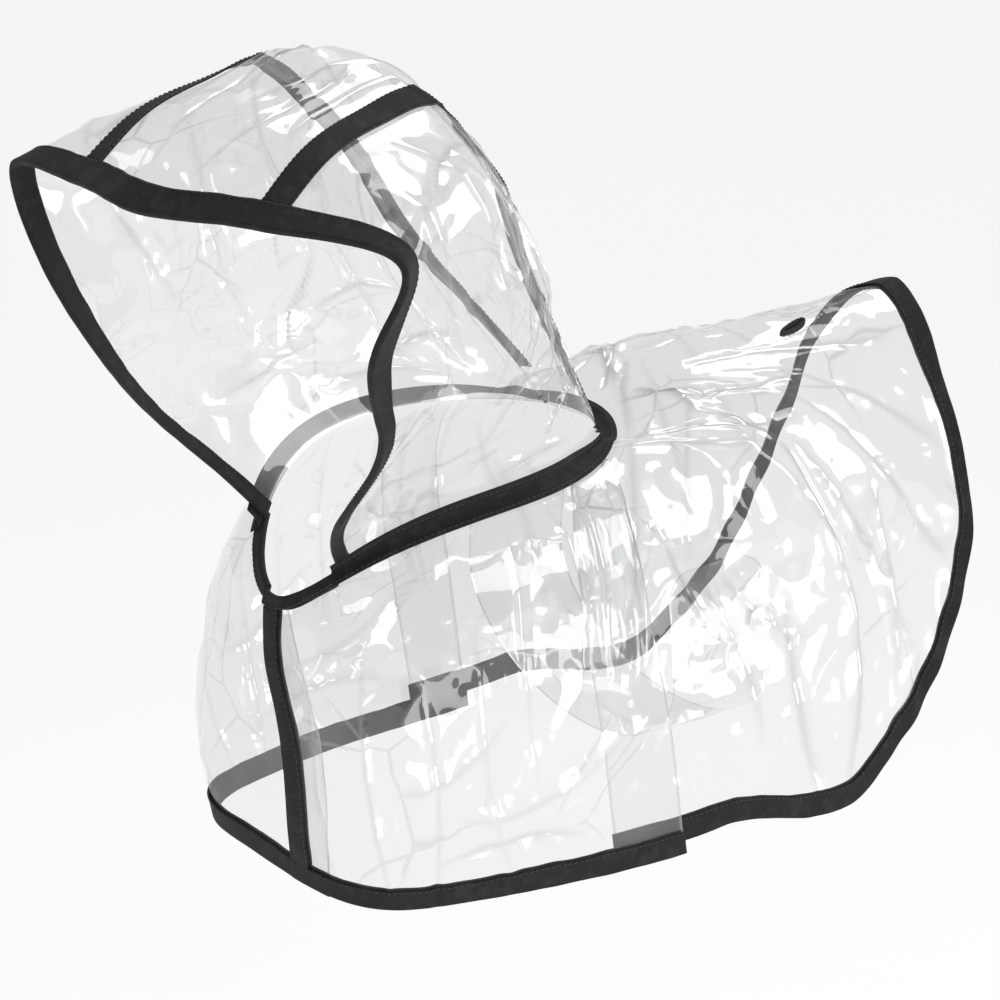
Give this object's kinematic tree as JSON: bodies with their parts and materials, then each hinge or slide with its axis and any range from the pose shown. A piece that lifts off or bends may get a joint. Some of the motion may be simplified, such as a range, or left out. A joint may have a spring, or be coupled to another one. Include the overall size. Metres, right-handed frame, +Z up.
{
  "type": "dog raincoat",
  "caption": "Clear hooded dog raincoat with black bound edges, taped hood seams, a neck band and a belly band with snaps.",
  "frame": {"origin": "under the film at the spine, above the belly band, where the coat rests on the wearer's back", "axes": "+Z up, -X towards the hood and chest, +X towards the rump, +Y towards the wearer's right side"},
  "size_m": [0.5065, 0.2883, 0.4467],
  "materials": {
    "film": "clear flexible film",
    "binding": "matt woven",
    "snap": "satin"
  },
  "bodies": {
    "root": {"hood_left": "film", "hood_centre": "film", "hood_right": "film", "front_left": "film", "front_right": "film", "back_panel": "film", "belly_band": "film", "face_binding": "binding", "neck_band": "binding", "throat_binding_left": "binding", "throat_binding_right": "binding", "front_edge_binding": "binding", "front_left_hem": "binding", "front_right_hem": "binding", "back_hem": "binding", "hood_seam_left": "binding", "hood_seam_right": "binding", "leash_slit_binding": "binding", "fastener_front": "snap", "fastener_rear": "snap"}
  },
  "joints": []
}
